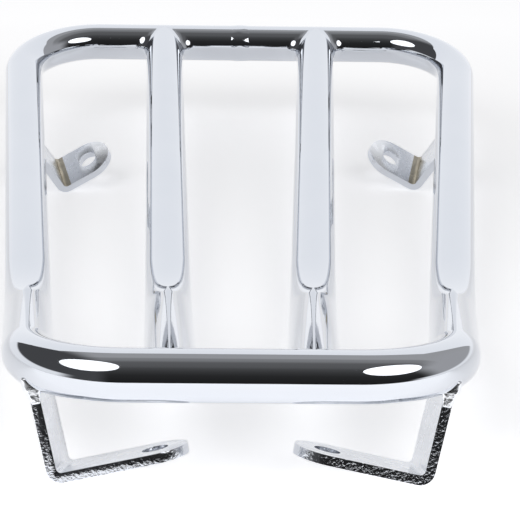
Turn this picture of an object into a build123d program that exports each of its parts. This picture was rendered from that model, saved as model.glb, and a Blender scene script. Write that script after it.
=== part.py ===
from build123d import *
import os
from math import atan2, cos, degrees, radians, sin, tan

os.makedirs("parts", exist_ok=True)

# All sizes are in millimetres and degrees

# Round tube of the frame
tube_diameter = 16.0
tube_wall = 2.0
tube_radius = tube_diameter / 2
bore_radius = tube_radius - tube_wall

# Plan of the frame, between tube centre lines
far_half_width = 99.5
near_half_width = 62.0
far_rail_offset = 34.8
near_rail_offset = 20.8
corner_radius = 32.0

# Side view: a straight deck, then an end that kicks up
deck_length = 222.4
kick_length = 102.0
kick_angle = 20.5
kick_radius = 110.0

# Flat bar of the mounting tabs
bar_width = 20.0
bar_thickness = 3.0
fold_inside_radius = 1.5
bolt_hole_diameter = 8.0
tip_radius = bar_width / 2

# Far tabs: place along the frame from the middle of the far bar, drop from the
# tube centre to the seat, reach from the leg to the bolt hole, and attitude
far_left_place = 173.5
far_right_place = 167.3
far_tab_drop = 28.4
far_tab_reach = 12.8
far_left_turn_angle = 16.0
far_right_turn_angle = 12.0
far_pitch_angle = 8.5
far_lean_angle = 28.0

# Near tabs: the same, but placed from the middle of the near bar
near_tab_place = 68.82
near_tab_drop = 33.4
near_tab_reach = 28.3
near_turn_angle = -6.0
near_pitch_angle = -26.0
near_lean_angle = 15.5

# Weld beads
joint_bead_radius = 1.7
butt_bead_width = 5.0
butt_bead_height = 0.5
tab_bead_spread = 2.2
tab_bead_height = 6.2


def bent_path(points, radii):
    """Straight runs between the points, with a round bend at each inner one."""
    edges = []
    start = points[0]
    for before, corner, after, radius in zip(points, points[1:], points[2:], radii):
        back = (before - corner).normalized()
        ahead = (after - corner).normalized()
        half_turn = radians(180 - back.get_angle(ahead)) / 2
        middle = (back + ahead).normalized()
        bend_start = corner + back * radius * tan(half_turn)
        bend_end = corner + ahead * radius * tan(half_turn)
        bend_middle = corner + middle * radius * (1 / cos(half_turn) - 1)
        edges.append(Line(start, bend_start))
        edges.append(ThreePointArc(bend_start, bend_middle, bend_end))
        start = bend_end
    edges.append(Line(start, points[-1]))
    return Wire(edges)


def rod_along(path, radius):
    """A solid round rod that follows the path."""
    section = Plane(origin=path @ 0, z_dir=path % 0) * Circle(radius)
    return sweep(section, path=path)


def mirrored(shape):
    return mirror(shape, about=Plane.YZ)


# Centre lines. The far bar lies on the X axis, the deck runs towards -Y.
share_at_kick = deck_length / (deck_length + kick_length)
near_y = -deck_length - kick_length * cos(radians(kick_angle))
near_z = kick_length * sin(radians(kick_angle))


def at_kick(far, near):
    """Offset of a tapering rail where the kick-up begins."""
    return far + (near - far) * share_at_kick


frame_points = [
    Vector(0, 0, 0),
    Vector(-far_half_width, 0, 0),
    Vector(-at_kick(far_half_width, near_half_width), -deck_length, 0),
    Vector(-near_half_width, near_y, near_z),
    Vector(0, near_y, near_z),
]
rail_points = [
    Vector(-far_rail_offset, 0, 0),
    Vector(-at_kick(far_rail_offset, near_rail_offset), -deck_length, 0),
    Vector(-near_rail_offset, near_y, near_z),
]
frame_path = bent_path(frame_points, [corner_radius, kick_radius, corner_radius])
rail_path = bent_path(rail_points, [kick_radius])

# The frame: one tube bent into a closed loop with four round corners
half_frame = rod_along(frame_path, tube_radius)
half_bore = rod_along(frame_path, bore_radius)
frame_rod = half_frame + mirrored(half_frame)
frame_bore = half_bore + mirrored(half_bore)
loop_tube = frame_rod - frame_bore


def end_bar(y, z, seam_angle):
    """The straight rod of an end bar, which the middle rails are coped to."""
    bar = Cylinder(tube_radius, 2 * far_half_width)
    return Pos(0, y, z) * Rot(0, 90, 0) * Rot(0, 0, seam_angle) * bar


# A middle rail, coped at both ends so that it saddles the frame tube
rail_rod = rod_along(rail_path, tube_radius) - end_bar(0, 0, 90) - end_bar(near_y, near_z, -90)
left_rail = rail_rod - rod_along(rail_path, bore_radius)


def joint_bead(joint):
    """Weld bead laid along the saddle between a middle rail and the frame."""
    bead = Part()
    for edge in rail_rod.edges().filter_by(GeomType.ELLIPSE):
        if (edge.center() - joint).length < tube_diameter:
            bead += rod_along(edge, joint_bead_radius)
            bead += Pos(edge @ 0) * Sphere(joint_bead_radius)
    return bead - rail_rod - frame_rod


far_joint_weld = joint_bead(rail_path @ 0)
near_joint_weld = joint_bead(rail_path @ 1)

# The butt weld that closes the loop, a low ring in the middle of the far bar
crown = tube_radius + butt_bead_height
half_width = butt_bead_width / 2
ring_profile = Polyline((-half_width, bore_radius), (half_width, bore_radius), (half_width, tube_radius))
ring_crown = ThreePointArc((half_width, tube_radius), (0, crown), (-half_width, tube_radius))
ring_close = Line((-half_width, tube_radius), (-half_width, bore_radius))
ring_face = make_face(ring_profile + ring_crown + ring_close)
loop_weld = revolve(ring_face, Axis.X) - frame_rod - frame_bore


def folded_tab(drop, reach):
    """Flat bar folded into an L: leg down from the origin, foot towards +X."""
    half = bar_thickness / 2
    hole_x = half + reach
    fold_line = FilletPolyline(
        (0, 0),
        (0, -drop - half),
        (hole_x + tip_radius, -drop - half),
        radius=fold_inside_radius + half,
    )
    strip = extrude(Plane.XZ * trace(fold_line, bar_thickness), bar_width / 2, both=True)
    straight = Pos(hole_x / 2 - half / 2) * Rectangle(hole_x + half, bar_width)
    outline = straight + Pos(hole_x) * Circle(tip_radius)
    outline -= Pos(hole_x) * Circle(bolt_hole_diameter / 2)
    return strip & extrude(outline, -drop - 2 * bar_thickness)


def leg_bead():
    """Weld fillet that flares from the leg of a tab into the frame tube."""
    foot_level = -tube_radius - tab_bead_height + tab_bead_spread
    top_level = -tube_radius + tab_bead_spread
    sections = []
    for share_up, share_out in [(0, 0.14), (0.5, 0.41), (1, 1)]:
        level = foot_level + share_up * (top_level - foot_level)
        spread = share_out * tab_bead_spread
        outline = Rectangle(bar_thickness + 2 * spread, bar_width + 2 * spread)
        rounding = 0.96 * (bar_thickness / 2 + spread)
        sections.append(Pos(0, 0, level) * fillet(outline.vertices(), rounding))
    return loft(sections)


def placed(place, turn, pitch, lean):
    """Where a tab hangs from the left half of the frame."""
    spot = frame_path.position_at(place, position_mode=PositionMode.LENGTH)
    return Pos(spot) * Rot(0, 0, turn) * Rot(pitch, 0, 0) * Rot(0, -lean, 0)


def hung_tab(where, drop, reach):
    """A tab coped to the frame tube, with the fillet that welds it there."""
    tab = where * folded_tab(drop, reach) - frame_rod
    return tab, where * leg_bead() - tab - frame_rod


near_place = frame_path.length - near_tab_place
far_left = placed(far_left_place, far_left_turn_angle, far_pitch_angle, far_lean_angle)
far_right = placed(far_right_place, far_right_turn_angle, far_pitch_angle, far_lean_angle)
near_left = placed(near_place, near_turn_angle, near_pitch_angle, near_lean_angle)
far_left_tab, far_left_bead = hung_tab(far_left, far_tab_drop, far_tab_reach)
far_right_tab, far_right_bead = hung_tab(far_right, far_tab_drop, far_tab_reach)
near_tab, near_bead = hung_tab(near_left, near_tab_drop, near_tab_reach)

pieces = {
    "loop_tube": loop_tube,
    "loop_weld": loop_weld,
    "left_rail": left_rail,
    "right_rail": mirrored(left_rail),
    "left_rail_far_weld": far_joint_weld,
    "left_rail_near_weld": near_joint_weld,
    "right_rail_far_weld": mirrored(far_joint_weld),
    "right_rail_near_weld": mirrored(near_joint_weld),
    "far_left_tab": far_left_tab,
    "far_left_tab_weld": far_left_bead,
    "far_right_tab": mirrored(far_right_tab),
    "far_right_tab_weld": mirrored(far_right_bead),
    "near_left_tab": near_tab,
    "near_left_tab_weld": near_bead,
    "near_right_tab": mirrored(near_tab),
    "near_right_tab_weld": mirrored(near_bead),
}

# The rack is turned until it stands on the heels of its tabs
rest_angle = 0.0
for step in range(4):
    far_heel = (Rot(rest_angle, 0, 0) * far_left_tab).bounding_box().min
    near_heel = (Rot(rest_angle, 0, 0) * near_tab).bounding_box().min
    rest_angle += degrees(atan2(near_heel.Z - far_heel.Z, far_heel.Y - near_heel.Y))
whole = Compound([Rot(rest_angle, 0, 0) * shape for shape in pieces.values()]).bounding_box()
stand = Pos(0, -whole.center().Y, -whole.min.Z) * Rot(rest_angle, 0, 0)

for name, shape in pieces.items():
    solid = (stand * shape).solids()
    assert len(solid) == 1, name
    export_step(solid[0], f"parts/{name}.step")
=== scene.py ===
# %% [markdown]
# # A chromed luggage rack
#
# The rack is welded from round steel tube and folded flat bar, then polished and chrome
# plated. This script gives it its looks: smooth round tubes, bevelled bar with sheared
# edges, lumpy weld beads, plating, and a small photo table to stand on. Everything is in
# metres. The rack stands on the table, which is the plane z = 0.

# %% Load the frame
import bpy
from math import cos, pi, radians, sin, tan
from mathutils import Matrix, Vector


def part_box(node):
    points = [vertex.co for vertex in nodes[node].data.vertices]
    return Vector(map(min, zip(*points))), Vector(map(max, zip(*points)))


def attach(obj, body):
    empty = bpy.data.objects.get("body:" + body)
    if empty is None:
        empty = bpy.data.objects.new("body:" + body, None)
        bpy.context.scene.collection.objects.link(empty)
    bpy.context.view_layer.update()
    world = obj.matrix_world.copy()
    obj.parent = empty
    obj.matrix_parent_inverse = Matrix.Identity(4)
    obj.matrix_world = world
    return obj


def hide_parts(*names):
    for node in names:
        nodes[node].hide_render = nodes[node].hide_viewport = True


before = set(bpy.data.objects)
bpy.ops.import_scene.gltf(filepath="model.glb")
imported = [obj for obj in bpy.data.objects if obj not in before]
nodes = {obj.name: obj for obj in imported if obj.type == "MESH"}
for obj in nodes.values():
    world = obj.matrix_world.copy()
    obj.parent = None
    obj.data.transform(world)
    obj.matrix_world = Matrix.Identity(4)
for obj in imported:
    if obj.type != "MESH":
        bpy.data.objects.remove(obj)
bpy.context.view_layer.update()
print("loaded", len(nodes), "pieces")

# %% [markdown]
# ## Sizes and centre lines
#
# A bent tube is described by the corners that its centre line would have if it were folded
# sharply, and by one bend radius per corner. This is how a tube bender's drawing gives it.
# The deck lies in the plane z = 0 of a drawing of its own, with the far bar on the X axis.
# The finished pieces are turned a little and lifted onto the table at the end.

# %% Sizes of the rack
mm = 0.001
tube_radius = 8 * mm
wall = 2 * mm
kick = radians(20.5)
deck_length = 222.4 * mm
kick_length = 102 * mm
near_y = -deck_length - kick_length * cos(kick)
near_z = kick_length * sin(kick)
share = deck_length / (deck_length + kick_length)


def tapered(far_offset, near_offset):
    """Corners of a line that runs from the far bar over the kick-up to the near bar."""
    middle = far_offset + (near_offset - far_offset) * share
    return [
        Vector((-far_offset, 0, 0)),
        Vector((-middle, -deck_length, 0)),
        Vector((-near_offset, near_y, near_z)),
    ]


frame_corners = [Vector((0, 0, 0))] + tapered(99.5 * mm, 62 * mm) + [Vector((0, near_y, near_z))]
frame_radii = [32 * mm, 110 * mm, 32 * mm]
rail_corners = tapered(34.8 * mm, 20.8 * mm)
rail_radii = [110 * mm]
print("frame corners", len(frame_corners), "rail corners", len(rail_corners))

# %% [markdown]
# The welded ring in the middle of the far bar shows where that bar is on the table, so its
# box gives the lift. The turn of the whole rack brings the feet of both ends down to the
# table, all but the far right one, which ends half a millimetre above it.

# %% From the drawing to the table
ring_low, ring_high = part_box("loop_weld")
far_bar_middle = (ring_low + ring_high) / 2
rest_turn = radians(5.8813)
to_table = Matrix.Translation(far_bar_middle) @ Matrix.Rotation(rest_turn, 4, "X")
print("far bar middle", [round(v, 4) for v in far_bar_middle])

# %% [markdown]
# ## Helpers for modelling by hand
#
# Blender's operators act on whatever is selected, so every step starts with a clean
# selection. A piece is finished by merging double points, turning all faces outwards, and
# writing its place into its mesh, so that the object itself stays at the origin.

# %% Start and finish a piece


def start_clean():
    """Leaves edit mode and deselects everything."""
    if bpy.context.mode != "OBJECT":
        bpy.ops.object.mode_set(mode="OBJECT")
    bpy.ops.object.select_all(action="DESELECT")


def only(piece):
    """Selects one piece and makes it the active one."""
    start_clean()
    piece.select_set(True)
    bpy.context.view_layer.objects.active = piece
    return piece


def tidy_mesh(piece):
    """Merges double points and turns every face outwards."""
    only(piece)
    bpy.ops.object.mode_set(mode="EDIT")
    bpy.ops.mesh.select_all(action="SELECT")
    bpy.ops.mesh.remove_doubles(threshold=0.01 * mm)
    bpy.ops.mesh.normals_make_consistent(inside=False)
    bpy.ops.object.mode_set(mode="OBJECT")


def settle(piece, place):
    """Moves a piece by a matrix and writes the result into its mesh."""
    only(piece)
    piece.matrix_world = place @ piece.matrix_world
    bpy.ops.object.transform_apply(location=True, rotation=True, scale=True)
    tidy_mesh(piece)


def use_modifier(piece, kind, **settings):
    """Adds one modifier with its settings and applies it."""
    only(piece)
    modifier = piece.modifiers.new(kind.lower(), kind)
    for name, value in settings.items():
        setattr(modifier, name, value)
    bpy.ops.object.modifier_apply(modifier=modifier.name)


def copy_of(piece, name):
    """A second piece with its own mesh."""
    only(piece)
    bpy.ops.object.duplicate(linked=False)
    copy = bpy.context.active_object
    copy.name = name
    return copy


def mirror_over(piece):
    """Moves a piece to the other side of the middle plane."""
    settle(piece, Matrix.Scale(-1, 4, (1, 0, 0)))


def mirrored_copy(piece, name):
    """A copy on the other side of the middle plane."""
    copy = copy_of(piece, name)
    mirror_over(copy)
    return copy


# %% [markdown]
# ## Chrome plating
#
# Chrome is a slightly blue metal that returns about two thirds of the light, so the base
# colour is well below white. All of its look comes from what it reflects. A very fine
# waviness from polishing bends the reflections a little, and a slow change of tint and
# roughness keeps the surface from looking painted. The patterns use Object coordinates, so
# they stay on the metal from every side.

# %% A plating material


def link(tree, source, target):
    """Joins an output socket to an input socket."""
    tree.links.new(source, target)


def noise(tree, place, scale, detail=2.0, stretch=(1, 1, 1)):
    """A noise pattern in the piece's own place, stretched along the axes."""
    mapping = tree.nodes.new("ShaderNodeMapping")
    mapping.inputs["Scale"].default_value = stretch
    link(tree, place.outputs["Object"], mapping.inputs["Vector"])
    pattern = tree.nodes.new("ShaderNodeTexNoise")
    pattern.inputs["Scale"].default_value = scale
    pattern.inputs["Detail"].default_value = detail
    link(tree, mapping.outputs["Vector"], pattern.inputs["Vector"])
    return pattern


def map_range(tree, source, low, high):
    """Turns a pattern of 0 to 1 into a range of values."""
    ranged = tree.nodes.new("ShaderNodeMapRange")
    ranged.inputs["From Min"].default_value = 0.3
    ranged.inputs["From Max"].default_value = 0.7
    ranged.inputs["To Min"].default_value = low
    ranged.inputs["To Max"].default_value = high
    link(tree, source, ranged.inputs["Value"])
    return ranged.outputs["Result"]


def relief(tree, below, source, depth):
    """Adds one pattern of hollows and swellings to the surface normal."""
    bump = tree.nodes.new("ShaderNodeBump")
    bump.inputs["Strength"].default_value = 1.0
    bump.inputs["Distance"].default_value = depth
    link(tree, source, bump.inputs["Height"])
    if below:
        link(tree, below, bump.inputs["Normal"])
    return bump.outputs["Normal"]


def plating(name, tints, roughness, reliefs):
    """Chrome with two tints, a range of roughness, and (scale, stretch, depth) reliefs."""
    material = bpy.data.materials.new(name)
    material.use_nodes = True
    tree = material.node_tree
    shader = tree.nodes["Principled BSDF"]
    shader.inputs["Metallic"].default_value = 1.0
    place = tree.nodes.new("ShaderNodeTexCoord")
    slow = noise(tree, place, 35)
    tint = tree.nodes.new("ShaderNodeMix")
    tint.data_type = "RGBA"
    tint.inputs["A"].default_value = tints[0] + (1,)
    tint.inputs["B"].default_value = tints[1] + (1,)
    link(tree, slow.outputs["Fac"], tint.inputs["Factor"])
    link(tree, tint.outputs["Result"], shader.inputs["Base Color"])
    fine = noise(tree, place, 260, 4)
    link(tree, map_range(tree, fine.outputs["Fac"], *roughness), shader.inputs["Roughness"])
    normal = None
    for scale, stretch, depth in reliefs:
        pattern = noise(tree, place, scale, 3, stretch)
        normal = relief(tree, normal, pattern.outputs["Fac"], depth)
    link(tree, normal, shader.inputs["Normal"])
    return material


# %% [markdown]
# The tube is the smoothest, with a slow waviness along its length. The faces of the flat
# bar are paler and more satin. Its cut edges were sheared, which leaves them torn, and
# plating only rounds the tears off. Deep in a fold the plating is thin, dull and brownish.
# The welds between the tubes were polished, and the beads of the tabs were left as laid.

# %% The six finishes
cool = ((0.61, 0.635, 0.68), (0.65, 0.67, 0.71))
pale = ((0.76, 0.78, 0.815), (0.82, 0.835, 0.86))
brownish = ((0.3, 0.27, 0.2), (0.55, 0.5, 0.41))
even = (1, 1, 1)
long_waves = (1, 0.5, 1)
plated_tube = plating(
    "plated_tube", cool, (0.015, 0.05), [(30, long_waves, 0.06 * mm), (420, even, 0.0008 * mm)]
)
plated_bar = plating(
    "plated_bar", pale, (0.22, 0.34), [(60, even, 0.03 * mm), (700, even, 0.002 * mm)]
)
sheared_edge = plating("sheared_edge", cool, (0.02, 0.12), [(1100, even, 0.14 * mm)])
thin_plating = plating("thin_plating", brownish, (0.25, 0.5), [(400, even, 0.1 * mm)])
plated_weld = plating("plated_weld", cool, (0.02, 0.07), [(260, even, 0.06 * mm)])
laid_weld = plating(
    "laid_weld", pale, (0.12, 0.3), [(260, even, 0.06 * mm), (900, even, 0.02 * mm)]
)
finishes = (plated_tube, plated_bar, sheared_edge, thin_plating, plated_weld, laid_weld)
print("finishes", [finish.name for finish in finishes])

# %% [markdown]
# ## Bending a tube
#
# A tube bender pushes straight tube forward and rolls it round a former. The same can be
# done with a ring of points: extrude it along each straight run, and spin it round the
# centre of each bend. The ring stays exactly round, which a chromed tube needs, because
# its reflections show the smallest dent.

# %% Carry a ring of points along a bent line
ring_points = 96


def bend_centre(before, corner, after, radius):
    """Start, end, centre, axis and angle of the bend at one corner."""
    into = (corner - before).normalized()
    out_of = (after - corner).normalized()
    turn = into.angle(out_of)
    setback = radius * tan(turn / 2)
    axis = into.cross(out_of).normalized()
    start = corner - into * setback
    return start, corner + out_of * setback, start + axis.cross(into) * radius, axis, turn


def push(step):
    """Extrudes the selected ring along a straight run."""
    bpy.ops.mesh.extrude_edges_move(TRANSFORM_OT_translate={"value": step})


def bend_ring(corners, radii, bend_steps):
    """Pushes and rolls the selected ring from the first corner to the last."""
    place = corners[0]
    bends = zip(corners, corners[1:], corners[2:], radii, bend_steps)
    for before, corner, after, radius, steps in bends:
        start, end, centre, axis, turn = bend_centre(before, corner, after, radius)
        push(start - place)
        bpy.ops.mesh.spin(steps=steps, angle=-turn, center=centre, axis=axis)
        place = end
    push(corners[-1] - place)


def start_ring(name, place, direction):
    """A new ring of the tube's size that faces along the tube, in edit mode."""
    start_clean()
    turn = direction.to_track_quat("Z", "Y").to_euler()
    bpy.ops.mesh.primitive_circle_add(
        vertices=ring_points, radius=tube_radius, location=place, rotation=turn
    )
    piece = bpy.context.active_object
    piece.name = name
    bpy.ops.object.transform_apply(location=True, rotation=True, scale=True)
    bpy.ops.object.mode_set(mode="EDIT")
    bpy.ops.mesh.select_all(action="SELECT")
    return piece


# %% [markdown]
# ## The closed loop
#
# The outer frame is one tube, bent four times and welded shut in the middle of the far bar.
# Its left half is bent here, the other half is its mirror image, and a Solidify modifier
# gives the tube its 2 mm wall.

# %% Bend the loop
half_direction = frame_corners[1] - frame_corners[0]
frame_bend_steps = [56, 24, 56]
loop = start_ring("chrome_loop", frame_corners[0], half_direction)
bend_ring(frame_corners, frame_radii, frame_bend_steps)
bpy.ops.object.mode_set(mode="OBJECT")
use_modifier(loop, "MIRROR", use_axis=(True, False, False), merge_threshold=0.05 * mm)
tidy_mesh(loop)
print("loop", len(loop.data.vertices), "points")

# %% [markdown]
# ## The middle rails
#
# Each middle rail is bent once and coped at both ends, so that it sits on the frame tube
# like a saddle. Two tubes of one diameter meet in two flat ellipses. So two flat cuts with
# Bisect, one to each side, give the exact saddle without any boolean.

# %% Bend and cope a rail


def cope(joint, along, bar):
    """Cuts the end of the rail to the saddle of the bar that it meets."""
    for side in (bar, -bar):
        bpy.ops.mesh.select_all(action="SELECT")
        bpy.ops.mesh.bisect(plane_co=joint, plane_no=along + side, clear_outer=True)


far_along = (rail_corners[0] - rail_corners[1]).normalized()
near_along = (rail_corners[2] - rail_corners[1]).normalized()
spare = 2 * mm
far_end = rail_corners[0] + far_along * spare
near_end = rail_corners[2] + near_along * spare
long_corners = [far_end, rail_corners[1], near_end]
left_rail = start_ring("chrome_rail_left", far_end, -far_along)
bend_ring(long_corners, rail_radii, [24])
across = Vector((1, 0, 0))
cope(rail_corners[0], far_along, across)
cope(rail_corners[2], near_along, across)
bpy.ops.object.mode_set(mode="OBJECT")
tidy_mesh(left_rail)
print("rail", len(left_rail.data.vertices), "points")

# %% [markdown]
# The rails and the loop are now given their wall, written into the table's place, and put in place
# of the CAD pieces, which are hidden. The right rail is the left one's mirror image.

# %% Wall thickness, place and names
finish_of_slot = {"tube_chrome": plated_tube, "weld_chrome": plated_weld}


def dress(piece, node, slot):
    """Gives a bare piece its finish, hangs it on the root body, and hides the CAD piece of the rack
    that it stands for.
    """
    if not piece.data.materials:
        piece.data.materials.append(finish_of_slot[slot])
    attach(piece, "root")
    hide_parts(node)


def smooth(piece, angle=180):
    """Smooth shading, except over edges sharper than the angle in degrees."""
    only(piece)
    bpy.ops.object.shade_smooth_by_angle(angle=radians(angle))


for piece in (loop, left_rail):
    settle(piece, to_table)
right_rail = mirrored_copy(left_rail, "chrome_rail_right")
for piece, node in ((loop, "loop_tube"), (left_rail, "left_rail"), (right_rail, "right_rail")):
    use_modifier(piece, "SOLIDIFY", thickness=wall, offset=-1)
    smooth(piece, 30)
    dress(piece, node, "tube_chrome")
    print(piece.name, len(piece.data.polygons), "faces")

# %% [markdown]
# ## Where a tab hangs
#
# A tab's place is a distance along the frame tube. This walks along the runs and bends of
# the left half until that distance is used up. The tab is then turned about the upright,
# pitched along the tube, and leaned outwards, in that order.

# %% A spot on the frame tube


def spot_along(corners, radii, distance):
    """The point of the centre line at a distance from its first corner."""
    place = corners[0]
    for before, corner, after, radius in zip(corners, corners[1:], corners[2:], radii):
        start, end, centre, axis, turn = bend_centre(before, corner, after, radius)
        run = (start - place).length
        if distance < run:
            return place + (start - place) * distance / run
        distance -= run
        if distance < turn * radius:
            return centre + Matrix.Rotation(distance / radius, 3, axis) @ (start - centre)
        distance -= turn * radius
        place = end
    return place + (corners[-1] - place).normalized() * distance


def hang(from_far, turn, pitch, lean):
    """The place of a tab that hangs from the left half of the frame."""
    spot = spot_along(frame_corners, frame_radii, from_far)
    turned = Matrix.Rotation(radians(turn), 4, "Z") @ Matrix.Rotation(radians(pitch), 4, "X")
    return to_table @ Matrix.Translation(spot) @ turned @ Matrix.Rotation(radians(-lean), 4, "Y")


far_left_hang = hang(173.5 * mm, 16, 8.5, 28)
far_right_hang = hang(167.3 * mm, 12, 8.5, 28)
near_hang = hang(390.5 * mm, -6, -26, 15.5)
print("near tab hangs at", [round(v, 4) for v in near_hang.translation])

# %% [markdown]
# ## Folded tabs
#
# A tab is a strip of 20 x 3 mm flat bar, sheared off, folded over a small radius, rounded
# at its tip and drilled. Two plain cutters shape its foot: one long rounded block for the
# tip, and a round bar for the bolt hole.

# %% Cutters for the foot
bar_width = 20 * mm
bar_thickness = 3 * mm
fold_radius = 1.5 * mm
bolt_hole_radius = 4 * mm


def cutter(name, radius, hole_x, drop, points):
    """A round bar through the foot."""
    start_clean()
    middle = (hole_x, 0, -drop)
    bpy.ops.mesh.primitive_cylinder_add(
        vertices=points, radius=radius, depth=2 * drop, location=middle
    )
    piece = bpy.context.active_object
    piece.name = name
    bpy.ops.object.transform_apply(location=True, rotation=True, scale=True)
    return piece


def pull_points(piece, chosen, step):
    """Moves the points that a test picks out."""
    only(piece)
    bpy.ops.object.mode_set(mode="EDIT")
    bpy.ops.mesh.select_mode(type="VERT")
    bpy.ops.mesh.select_all(action="DESELECT")
    bpy.ops.object.mode_set(mode="OBJECT")
    for point in piece.data.vertices:
        point.select = chosen(point.co)
    bpy.ops.object.mode_set(mode="EDIT")
    bpy.ops.transform.translate(value=step)
    bpy.ops.object.mode_set(mode="OBJECT")


def shape_foot(tab, drop, hole_x):
    """Rounds the tip of the foot and drills the bolt hole."""
    tip = cutter("tip_cutter", bar_width / 2, hole_x, drop, 96)
    pull_points(tip, lambda point: point.x < hole_x - 0.01 * mm, (-3 * bar_width, 0, 0))
    drill = cutter("drill_cutter", bolt_hole_radius, hole_x, drop, 64)
    for tool, way in ((tip, "INTERSECT"), (drill, "DIFFERENCE")):
        use_modifier(tab, "BOOLEAN", object=tool, operation=way, solver="EXACT")
        bpy.data.objects.remove(tool)


print("hole", 2 * bolt_hole_radius, "in bar of", bar_width)

# %% [markdown]
# The strip starts as the end face of the bar, inside the frame tube. It is extruded down,
# spun round the fold and extruded into the foot. Its narrow sides get a fine grid of
# points, because they are torn later.

# %% Fold and finish a strip
edge_rows = 7
edge_step = 0.45 * mm
leg_top = -5 * mm


def split_short_edges(strip):
    """Cuts the bar's end face into rows across its thickness."""
    points = strip.data.vertices
    ends = [[points[index].co.x for index in edge.vertices] for edge in strip.data.edges]
    bpy.ops.object.mode_set(mode="EDIT")
    bpy.ops.mesh.select_mode(type="EDGE")
    bpy.ops.mesh.select_all(action="DESELECT")
    bpy.ops.object.mode_set(mode="OBJECT")
    for edge, (first_x, second_x) in zip(strip.data.edges, ends):
        edge.select = abs(first_x - second_x) > mm
    bpy.ops.object.mode_set(mode="EDIT")
    bpy.ops.mesh.subdivide(number_cuts=edge_rows - 1)
    bpy.ops.mesh.select_all(action="SELECT")


def stretch(step):
    """Extrudes the selected end of the strip in short rows."""
    rows = round(step.length / edge_step)
    for row in range(rows):
        bpy.ops.mesh.extrude_region_move(TRANSFORM_OT_translate={"value": step / rows})


def folded_tab(name, drop, reach):
    """A drilled tab: its leg hangs from the origin and its foot points along +X."""
    start_clean()
    bpy.ops.mesh.primitive_plane_add(size=1, location=(0, 0, leg_top))
    tab = bpy.context.active_object
    tab.name = name
    tab.scale = (bar_thickness, bar_width, 1)
    bpy.ops.object.transform_apply(location=True, rotation=True, scale=True)
    split_short_edges(tab)
    hole_x = bar_thickness / 2 + reach
    fold_middle = Vector((bar_thickness / 2 + fold_radius, 0, -drop + fold_radius))
    stretch(Vector((0, 0, fold_middle.z - leg_top)))
    bpy.ops.mesh.spin(steps=12, angle=pi / 2, center=fold_middle, axis=(0, 1, 0))
    stretch(Vector((hole_x + bar_width / 2 - fold_middle.x, 0, 0)))
    bpy.ops.object.mode_set(mode="OBJECT")
    tidy_mesh(tab)
    shape_foot(tab, drop, hole_x)
    tab.data.materials.append(plated_bar)
    tab.data.materials.append(sheared_edge)
    for face in tab.data.polygons:
        on_side = abs(face.normal.y) > 0.5
        on_tip = face.center.x > 2 * bar_thickness and abs(face.normal.z) < 0.5
        face.material_index = 1 if on_side or on_tip else 0
    return tab


def stain_fold(tab, drop):
    """Gives the inside of the fold the thin, dull plating of a deep corner."""
    tab.data.materials.append(thin_plating)
    near = 0.1 * mm
    stain_end = bar_thickness / 2 + fold_radius + 1.4 * mm
    for face in tab.data.polygons:
        x, y, z = face.center
        inside = x > bar_thickness / 2 - near and z > -drop - near
        in_corner = x < stain_end and z < -drop + fold_radius
        if inside and in_corner and abs(face.normal.y) < 0.5:
            face.material_index = 2


near_drop, near_reach = 33.4 * mm, 28.3 * mm
far_drop, far_reach = 28.4 * mm, 12.8 * mm
near_left_tab = folded_tab("chrome_tab_near_left", near_drop, near_reach)
far_left_tab = folded_tab("chrome_tab_far_left", far_drop, far_reach)
stain_fold(far_left_tab, far_drop)
print("near tab", len(near_left_tab.data.polygons), "faces")

# %% [markdown]
# The leg of a real tab is ground to the tube before it is welded. Here a round cutter that
# follows the centre line of the frame trims it, so the leg ends on the tube's surface. A
# narrow bevel then breaks all the edges, because plating never sits on a knife edge and
# the bright line along each edge comes from it. Last, the two long cut edges are torn: a
# low burr is raised along their middle, and a cloud pattern roughens them.

# %% Trim and tear an edge


def new_tube_cutter():
    """A solid copy of the left half of the frame tube, in the table's place."""
    tube = start_ring("tube_cutter", frame_corners[0], half_direction)
    bend_ring(frame_corners, frame_radii, frame_bend_steps)
    bpy.ops.mesh.select_all(action="DESELECT")
    bpy.ops.mesh.select_mode(type="EDGE")
    bpy.ops.mesh.select_non_manifold()
    bpy.ops.mesh.edge_face_add()
    bpy.ops.object.mode_set(mode="OBJECT")
    settle(tube, to_table)
    return tube


def lumps(piece, size, height, **settings):
    """Pushes a finished surface in and out by a soft cloud pattern."""
    pattern = bpy.data.textures.new(piece.name + "_lumps", "CLOUDS")
    pattern.noise_scale = size
    pattern.noise_depth = 3
    settings.update(texture=pattern, texture_coords="LOCAL", strength=height, mid_level=0.5)
    use_modifier(piece, "DISPLACE", **settings)


def off_middle(x, z, drop):
    """How far a point lies from the middle of the bar's thickness."""
    fold_x = bar_thickness / 2 + fold_radius
    fold_z = -drop + fold_radius
    if z > fold_z:
        return abs(x)
    if x > fold_x:
        return abs(z + drop + bar_thickness / 2)
    return abs(Vector((x - fold_x, z - fold_z)).length - fold_x)


def tear_edges(tab, place, drop):
    """Raises a burr along the middle of the two long cut edges and tears them a little."""
    torn_half, burr_half, burr_height = 1.15 * mm, 0.3 * mm, 0.16 * mm
    torn = tab.vertex_groups.new(name="torn")
    burr = tab.vertex_groups.new(name="burr")
    from_table = place.inverted()
    for point in tab.data.vertices:
        x, y, z = from_table @ point.co
        off = off_middle(x, z, drop)
        if abs(y) > bar_width / 2 - 0.05 * mm and off < torn_half:
            torn.add([point.index], 1.0, "REPLACE")
            if off < burr_half:
                burr.add([point.index], 1.0, "REPLACE")
    use_modifier(tab, "DISPLACE", vertex_group="burr", strength=burr_height, mid_level=0)
    lumps(tab, 0.8 * mm, 1.2 * mm, vertex_group="torn")


tube_cutter = new_tube_cutter()
print("tube cutter", len(tube_cutter.data.vertices), "points")

# %% [markdown]
# The far tabs differ a little in place and turn, so the right one is made from a second
# copy of the strip. The near tabs mirror each other.

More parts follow.
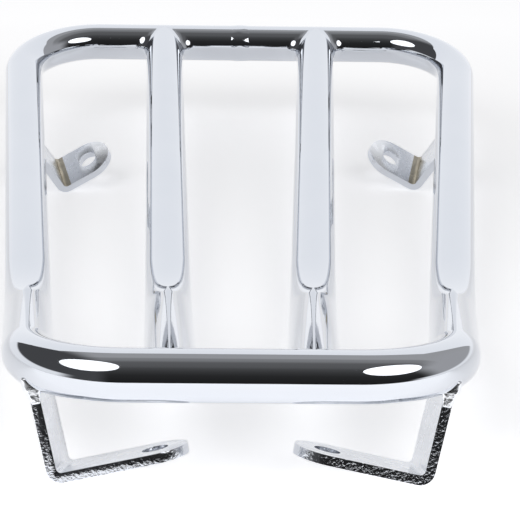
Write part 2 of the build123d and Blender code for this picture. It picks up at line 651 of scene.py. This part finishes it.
# %% Hang the tabs
far_right_tab = copy_of(far_left_tab, "chrome_tab_far_right")
bevel = {"width": 0.35 * mm, "segments": 3, "limit_method": "ANGLE", "angle_limit": radians(40)}
tabs = (
    (near_left_tab, near_hang, near_drop),
    (far_left_tab, far_left_hang, far_drop),
    (far_right_tab, far_right_hang, far_drop),
)
for tab, place, drop in tabs:
    settle(tab, place)
    use_modifier(tab, "BOOLEAN", object=tube_cutter, operation="DIFFERENCE", solver="EXACT")
    tidy_mesh(tab)
    use_modifier(tab, "BEVEL", **bevel)
    tear_edges(tab, place, drop)
    print(tab.name, len(tab.data.polygons), "faces")
mirror_over(far_right_tab)
near_right_tab = mirrored_copy(near_left_tab, "chrome_tab_near_right")
tab_nodes = {
    near_left_tab: "near_left_tab",
    near_right_tab: "near_right_tab",
    far_left_tab: "far_left_tab",
    far_right_tab: "far_right_tab",
}
for tab, node in tab_nodes.items():
    smooth(tab, 30)
    dress(tab, node, "bar_chrome")

# %% [markdown]
# ## Polished fillets at the saddles
#
# Where a middle rail meets an end bar, the joint is filled and polished to a smooth hollow
# fillet, like the bead that a ball leaves when it is rolled along the corner. A ball that
# touches two tubes of equal size rolls along a flat ellipse, so its touching points on both
# tubes are easy to find. A ring of points is extruded into a short hose, and each ring of
# the hose is then laid on the corner: its front follows the ball, its back lies inside the
# metal. At the crown the hose narrows to a point, as the real fillet does. The ball is
# large at the far bar and small at the near one, where the photograph shows a tight joint.

# %% Roll a fillet along a saddle
far_ball = 5.5 * mm
near_ball = 2.5 * mm
front_points = 14
hose_rings = 48


def touching_points(joint, along, side, swing, ball):
    """Ball centre, touch on the rail, touch on the bar, and the bare corner."""
    reach = tube_radius + ball
    upright = along.cross(side).normalized()
    half_angle = along.angle(side) / 2
    middle = (along + side).normalized()
    centre = upright * reach * cos(swing) + middle * reach * sin(swing) / sin(half_angle)
    touches = []
    for axis in (along, side):
        foot = axis * centre.dot(axis)
        touches.append(joint + foot + (centre - foot) * tube_radius / reach)
    corner = centre * tube_radius / reach
    return joint + centre, touches[0], touches[1], joint + corner


def fillet_ring(joint, along, side, swing, ball):
    """One ring of the hose: points along the ball, then back under the corner."""
    centre, on_rail, on_bar, corner = touching_points(joint, along, side, swing, ball)
    buried = corner + (corner - centre) * 0.25
    ring = [buried]
    for step in range(front_points):
        share = step / (front_points - 1)
        arm = (on_rail - centre).slerp(on_bar - centre, share)
        ring.append(centre + arm * ball)
    return ring


def half_fillet(name, joint, along, side, ball):
    """The fillet on one side of a rail: a hose extruded ring by ring from crown to crown."""
    swings = [pi * (0.02 + 0.96 * step / (hose_rings - 1)) for step in range(hose_rings)]
    rings = [fillet_ring(joint, along, side, swing, ball) for swing in swings]
    start_clean()
    bpy.ops.mesh.primitive_circle_add(vertices=len(rings[0]), radius=mm)
    hose = bpy.context.active_object
    hose.name = name
    bpy.ops.object.mode_set(mode="EDIT")
    bpy.ops.mesh.select_all(action="SELECT")
    for step in range(hose_rings - 1):
        push((0, 0, mm))
    bpy.ops.mesh.select_non_manifold()
    bpy.ops.mesh.edge_face_add()
    bpy.ops.object.mode_set(mode="OBJECT")
    for point in hose.data.vertices:
        level = round(point.co.z / mm)
        turn = point.co.xy.angle_signed(Vector((0, 1))) / (2 * pi)
        point.co = rings[level][round(turn * len(rings[0])) % len(rings[0])]
    return hose


def rolled_fillet(name, joint, along, bar, ball):
    """Both sides of one saddle joint as one piece, in the table's place."""
    halves = [
        half_fillet(name, joint, along, bar, ball),
        half_fillet(name + "_b", joint, along, -bar, ball),
    ]
    start_clean()
    for half in halves:
        half.select_set(True)
    bpy.context.view_layer.objects.active = halves[0]
    bpy.ops.object.join()
    settle(halves[0], to_table)
    return halves[0]


far_joint, near_joint = rail_corners[0], rail_corners[2]
far_fillet = rolled_fillet("chrome_fillet_far_left", far_joint, -far_along, across, far_ball)
near_fillet = rolled_fillet("chrome_fillet_near_left", near_joint, -near_along, across, near_ball)
fillets = {
    far_fillet: "left_rail_far_weld",
    near_fillet: "left_rail_near_weld",
    mirrored_copy(far_fillet, "chrome_fillet_far_right"): "right_rail_far_weld",
    mirrored_copy(near_fillet, "chrome_fillet_near_right"): "right_rail_near_weld",
}
for piece, node in fillets.items():
    smooth(piece, 60)
    dress(piece, node, "weld_chrome")
print("fillet", len(far_fillet.data.polygons), "faces")

# %% [markdown]
# ## The seam of the loop and the beads of the tabs
#
# The tube's two ends meet in the middle of the far bar. Their weld was ground down to a low
# swelling, which is a flattened torus round the bar. The tabs' beads were left as they
# were laid: a block that flares from the leg to the tube, rounded by subdivision, and made
# lumpy by a Displace modifier with a cloud texture.

# %% Lay the seam
start_clean()
bpy.ops.mesh.primitive_torus_add(
    major_radius=7 * mm,
    minor_radius=1.2 * mm,
    major_segments=144,
    minor_segments=40,
    location=far_bar_middle,
    rotation=(0, radians(90), 0),
)
seam = bpy.context.active_object
seam.name = "chrome_seam"
seam.scale = (1, 1, 6)
settle(seam, Matrix.Identity(4))
lumps(seam, 3 * mm, 0.16 * mm)
smooth(seam)
dress(seam, "loop_weld", "weld_chrome")
print("seam", len(seam.data.polygons), "faces")

# %% Lay the beads of the tabs


def grow(step, new_size, old_size):
    """Extrudes the selected face and changes its size."""
    bpy.ops.mesh.extrude_region_move(TRANSFORM_OT_translate={"value": (0, 0, step)})
    shares = (new_size[0] / old_size[0], new_size[1] / old_size[1], 1)
    bpy.ops.transform.resize(value=shares)


def tab_bead(name):
    """The bead round the top of a leg, in the tab's own place."""
    start_clean()
    sizes = [(3.5 * mm, 20.4 * mm), (4.4 * mm, 21 * mm), (6.6 * mm, 21.6 * mm), (7 * mm, 21.6 * mm)]
    steps = (2.6 * mm, 2.6 * mm, 4 * mm)
    bead_foot = -12.4 * mm
    bpy.ops.mesh.primitive_plane_add(size=1, location=(0, 0, bead_foot))
    bead = bpy.context.active_object
    bead.name = name
    bead.scale = (sizes[0][0], sizes[0][1], 1)
    bpy.ops.object.transform_apply(location=True, rotation=True, scale=True)
    bpy.ops.object.mode_set(mode="EDIT")
    bpy.ops.mesh.select_all(action="SELECT")
    for step, new_size, old_size in zip(steps, sizes[1:], sizes):
        grow(step, new_size, old_size)
    bpy.ops.mesh.select_all(action="SELECT")
    bpy.ops.mesh.subdivide(number_cuts=2)
    bpy.ops.object.mode_set(mode="OBJECT")
    tidy_mesh(bead)
    use_modifier(bead, "SUBSURF", levels=3, render_levels=3)
    lumps(bead, 2.4 * mm, 0.25 * mm)
    bead.data.materials.append(laid_weld)
    return bead


near_bead = tab_bead("chrome_bead_near_left")
far_left_bead = copy_of(near_bead, "chrome_bead_far_left")
far_right_bead = copy_of(near_bead, "chrome_bead_far_right")
beads = (
    (near_bead, near_hang),
    (far_left_bead, far_left_hang),
    (far_right_bead, far_right_hang),
)
for bead, place in beads:
    settle(bead, place)
    use_modifier(bead, "BOOLEAN", object=tube_cutter, operation="DIFFERENCE", solver="EXACT")
    tidy_mesh(bead)
mirror_over(far_right_bead)
bead_nodes = {
    near_bead: "near_left_tab_weld",
    mirrored_copy(near_bead, "chrome_bead_near_right"): "near_right_tab_weld",
    far_left_bead: "far_left_tab_weld",
    far_right_bead: "far_right_tab_weld",
}
for bead, node in bead_nodes.items():
    smooth(bead, 60)
    dress(bead, node, "weld_chrome")
    print(bead.name, len(bead.data.polygons), "faces")
bpy.data.objects.remove(tube_cutter)

# %% [markdown]
# ## The table
#
# The rack stands on a wide white table with a white card behind it, and the chrome shows
# both as one pale sweep. The camera sees the table as nearly pure white, with the soft
# shadows left in it: a little light of the table's own is added for rays of the camera and
# for reflections. It grows towards the camera's side and towards the far edge.

# %% Table and card


def flat_sheet(name, corners):
    """A stage plane through two opposite corners, given as (x, y) pairs on the table."""
    start_clean()
    (low_x, low_y), (high_x, high_y) = corners
    middle = ((low_x + high_x) / 2, (low_y + high_y) / 2, 0)
    bpy.ops.mesh.primitive_plane_add(size=1, location=middle)
    sheet = bpy.context.active_object
    sheet.name = name
    sheet.scale = (high_x - low_x, high_y - low_y, 1)
    bpy.ops.object.transform_apply(location=True, rotation=True, scale=True)
    return sheet


def glow(tree, strength, color=(1, 1, 1, 1)):
    """An emission shader."""
    shader = tree.nodes.new("ShaderNodeEmission")
    shader.inputs["Color"].default_value = color
    shader.inputs["Strength"].default_value = strength
    return shader


def seen_or_reflected(tree):
    """1 for rays of the camera, of reflections and through glass, otherwise 0."""
    path = tree.nodes.new("ShaderNodeLightPath")
    total = path.outputs["Is Camera Ray"]
    for name in ("Is Glossy Ray", "Is Transmission Ray"):
        either = tree.nodes.new("ShaderNodeMath")
        either.operation = "MAXIMUM"
        link(tree, total, either.inputs[0])
        link(tree, path.outputs[name], either.inputs[1])
        total = either.outputs[0]
    return total


def set_ramp(ramp, stops):
    """Fills a colour ramp with greys, given as place: brightness."""
    while len(ramp.color_ramp.elements) < len(stops):
        ramp.color_ramp.elements.new(0.5)
    for element, (position, value) in zip(ramp.color_ramp.elements, stops.items()):
        element.position = position
        element.color = (value, value, value * 1.01, 1)


table_front, table_back = -0.9, 0.45
table = flat_sheet("table", ((-1.0, table_front), (1.0, table_back)))
table_white = bpy.data.materials.new("table_white")
table_white.use_nodes = True
tree = table_white.node_tree
paint = tree.nodes["Principled BSDF"]
paint.inputs["Base Color"].default_value = (0.86, 0.86, 0.87, 1)
paint.inputs["Roughness"].default_value = 1.0
paint.inputs["Specular IOR Level"].default_value = 0.0
lift = glow(tree, 1.0)
place = tree.nodes.new("ShaderNodeTexCoord")
along = tree.nodes.new("ShaderNodeSeparateXYZ")
link(tree, place.outputs["Object"], along.inputs["Vector"])
from_edge = tree.nodes.new("ShaderNodeMapRange")
from_edge.inputs["From Min"].default_value = table_front
from_edge.inputs["From Max"].default_value = table_back
link(tree, along.outputs["Y"], from_edge.inputs["Value"])
lift_ramp = tree.nodes.new("ShaderNodeValToRGB")
link(tree, from_edge.outputs["Result"], lift_ramp.inputs["Fac"])
set_ramp(lift_ramp, {0.0: 0.85, 0.53: 0.8, 0.58: 0.5, 0.74: 0.46, 0.9: 0.62})
link(tree, lift_ramp.outputs["Color"], lift.inputs["Color"])
plus = tree.nodes.new("ShaderNodeAddShader")
pick = tree.nodes.new("ShaderNodeMixShader")
link(tree, paint.outputs["BSDF"], plus.inputs[0])
link(tree, lift.outputs["Emission"], plus.inputs[1])
link(tree, seen_or_reflected(tree), pick.inputs[0])
link(tree, paint.outputs["BSDF"], pick.inputs[1])
link(tree, plus.outputs["Shader"], pick.inputs[2])
link(tree, pick.outputs["Shader"], tree.nodes["Material Output"].inputs["Surface"])
table.data.materials.append(table_white)
print("table", table.dimensions.to_tuple(2))

# %% White card
card_distance = 0.77
card = flat_sheet("card", ((-0.74, -0.1), (0.75, 1.07)))
settle(card, Matrix.Translation((0, card_distance, 0)) @ Matrix.Rotation(radians(90), 4, "X"))
card_white = bpy.data.materials.new("card_white")
card_white.use_nodes = True
tree = card_white.node_tree
card_light = glow(tree, 1.15, (0.97, 0.98, 1.0, 1))
link(tree, card_light.outputs["Emission"], tree.nodes["Material Output"].inputs["Surface"])
card.data.materials.append(card_white)
card.visible_camera = False
card.visible_diffuse = False
card.visible_shadow = False
print("card", card.dimensions.to_tuple(2))

# %% [markdown]
# ## The room and the lamps
#
# The camera sees a white room. Rough surfaces get an even, soft light from it. Only the
# reflections show the studio as it is: a ceiling that darkens from above the card towards
# the camera's side, a dark side on the left, a grey wall on the right, and a pale band low
# down all round, except behind the camera. A direction in the room is the Generated
# coordinate of the world.

# %% A world with its ceiling
world = bpy.data.worlds.new("studio")
bpy.context.scene.world = world
world.use_nodes = True
tree = world.node_tree
tree.nodes.clear()
direction = tree.nodes.new("ShaderNodeTexCoord")
parts = tree.nodes.new("ShaderNodeSeparateXYZ")
link(tree, direction.outputs["Generated"], parts.inputs["Vector"])


def calculate(operation, first, second):
    """One Math node from sockets or plain numbers."""
    node = tree.nodes.new("ShaderNodeMath")
    node.operation = operation
    for socket, value in zip(node.inputs, (first, second)):
        if isinstance(value, (int, float)):
            socket.default_value = value
        else:
            link(tree, value, socket)
    return node.outputs[0]


toward_camera = calculate("MULTIPLY", parts.outputs["Y"], -1.0)
height_angle = calculate("ARCTAN2", parts.outputs["Z"], toward_camera)
share_over = calculate("DIVIDE", height_angle, pi)
ceiling = tree.nodes.new("ShaderNodeValToRGB")
link(tree, share_over, ceiling.inputs["Fac"])
over_camera = {0.0: 0.018, 0.16: 0.03, 0.25: 0.055, 0.32: 0.085}
overhead = {0.37: 0.13, 0.47: 0.15, 0.52: 0.27, 0.58: 0.31, 0.6: 0.44}
set_ramp(ceiling, over_camera | overhead)
print("ceiling of", len(ceiling.color_ramp.elements), "greys")

# %% Sides of the room and what each kind of ray sees


def fade(value, low, high):
    """0 below the low value, 1 above the high one, and a smooth step between."""
    step = tree.nodes.new("ShaderNodeMapRange")
    step.interpolation_type = "SMOOTHSTEP"
    link(tree, value, step.inputs["Value"])
    step.inputs["From Min"].default_value = low
    step.inputs["From Max"].default_value = high
    return step.outputs["Result"]


def mixed(factor, first, second):
    """A mix of two colours, each a socket or a plain colour."""
    mix = tree.nodes.new("ShaderNodeMix")
    mix.data_type = "RGBA"
    link(tree, factor, mix.inputs["Factor"])
    for name, value in (("A", first), ("B", second)):
        if isinstance(value, tuple):
            mix.inputs[name].default_value = value + (1,)
        else:
            link(tree, value, mix.inputs[name])
    return mix.outputs["Result"]


to_right, to_back, up = (parts.outputs[axis] for axis in "XYZ")
left = fade(to_right, 0.1, -0.1)
low_top = calculate("ADD", calculate("MULTIPLY", left, 0.12), 0.05)
low = fade(calculate("SUBTRACT", up, low_top), 0.03, -0.03)
low_all_round = calculate("MULTIPLY", low, fade(to_back, -0.7, -0.4))
right_wall = calculate("MULTIPLY", fade(to_right, 0.55, 0.75), fade(to_back, -0.5, -0.1))
right_wall = calculate("MULTIPLY", right_wall, fade(up, 0.8, 0.45))
dark_grey, middle_grey, backdrop = (0.08, 0.08, 0.083), (0.46, 0.46, 0.47), (1.08, 1.09, 1.11)
room = mixed(fade(to_right, -0.25, -0.5), ceiling.outputs["Color"], dark_grey)
room = mixed(right_wall, room, middle_grey)
room = mixed(low_all_round, room, backdrop)
reflected = tree.nodes.new("ShaderNodeBackground")
link(tree, room, reflected.inputs["Color"])
white_room = tree.nodes.new("ShaderNodeBackground")
white_room.inputs["Strength"].default_value = 1.0
soft_fill = tree.nodes.new("ShaderNodeBackground")
soft_fill.inputs["Strength"].default_value = 0.3
path = tree.nodes.new("ShaderNodeLightPath")
for_reflections = tree.nodes.new("ShaderNodeMixShader")
link(tree, path.outputs["Is Glossy Ray"], for_reflections.inputs[0])
link(tree, soft_fill.outputs["Background"], for_reflections.inputs[1])
link(tree, reflected.outputs["Background"], for_reflections.inputs[2])
for_camera = tree.nodes.new("ShaderNodeMixShader")
link(tree, path.outputs["Is Camera Ray"], for_camera.inputs[0])
link(tree, for_reflections.outputs["Shader"], for_camera.inputs[1])
link(tree, white_room.outputs["Background"], for_camera.inputs[2])
output = tree.nodes.new("ShaderNodeOutputWorld")
link(tree, for_camera.outputs["Shader"], output.inputs["Surface"])
print("world ready")

# %% [markdown]
# Two large round lamps stand left and right of the camera. They throw the two soft shadows
# of each rail that meet between the rails, and they are the bright patches on the bends.
# The camera itself doesn't see them.

# %% Lamps
lamp_distance = 0.9
lamp_power = 2.2


def soft_lamp(name, azimuth, height, size):
    """A round lamp that faces the rack. The azimuth turns from the camera's side."""
    aim = Vector((0, -0.03, 0.03))
    turned = Matrix.Rotation(radians(azimuth), 3, "Z") @ Matrix.Rotation(radians(-height), 3, "X")
    offset = turned @ Vector((0, -lamp_distance, 0))
    lamp = bpy.data.lights.new(name, "AREA")
    lamp.shape = "ELLIPSE"
    lamp.size, lamp.size_y = size
    lamp.energy = lamp_power
    place = bpy.data.objects.new(name, lamp)
    bpy.context.scene.collection.objects.link(place)
    place.location = aim + offset
    place.rotation_euler = (-offset).to_track_quat("-Z", "Y").to_euler()
    place.visible_camera = False
    return place


soft_lamp("lamp_left", -50, 49, (0.76, 0.6))
soft_lamp("lamp_right", 42, 42, (0.76, 0.54))
print("lamps ready")

# %% [markdown]
# ## The camera
#
# The photograph was taken from the narrow end, about 0.65 m away and 25 degrees above the
# table. Its focal length, fitted to the outlines of the rack, is 1700 of its own pixels,
# and it is 520 pixels wide. Place and turn come from the same fit.

# %% Camera
lens = bpy.data.cameras.new("camera")
lens.sensor_width = 36
lens.lens = 1700 / 520 * lens.sensor_width
lens.clip_start = 0.01
camera = bpy.data.objects.new("camera", lens)
bpy.context.scene.collection.objects.link(camera)
camera.location = (-0.0042, -0.59088, 0.27962)
camera.rotation_euler = (radians(64.8562), radians(-0.931), radians(-0.7223))
bpy.context.scene.camera = camera
bpy.context.scene.view_settings.view_transform = "Standard"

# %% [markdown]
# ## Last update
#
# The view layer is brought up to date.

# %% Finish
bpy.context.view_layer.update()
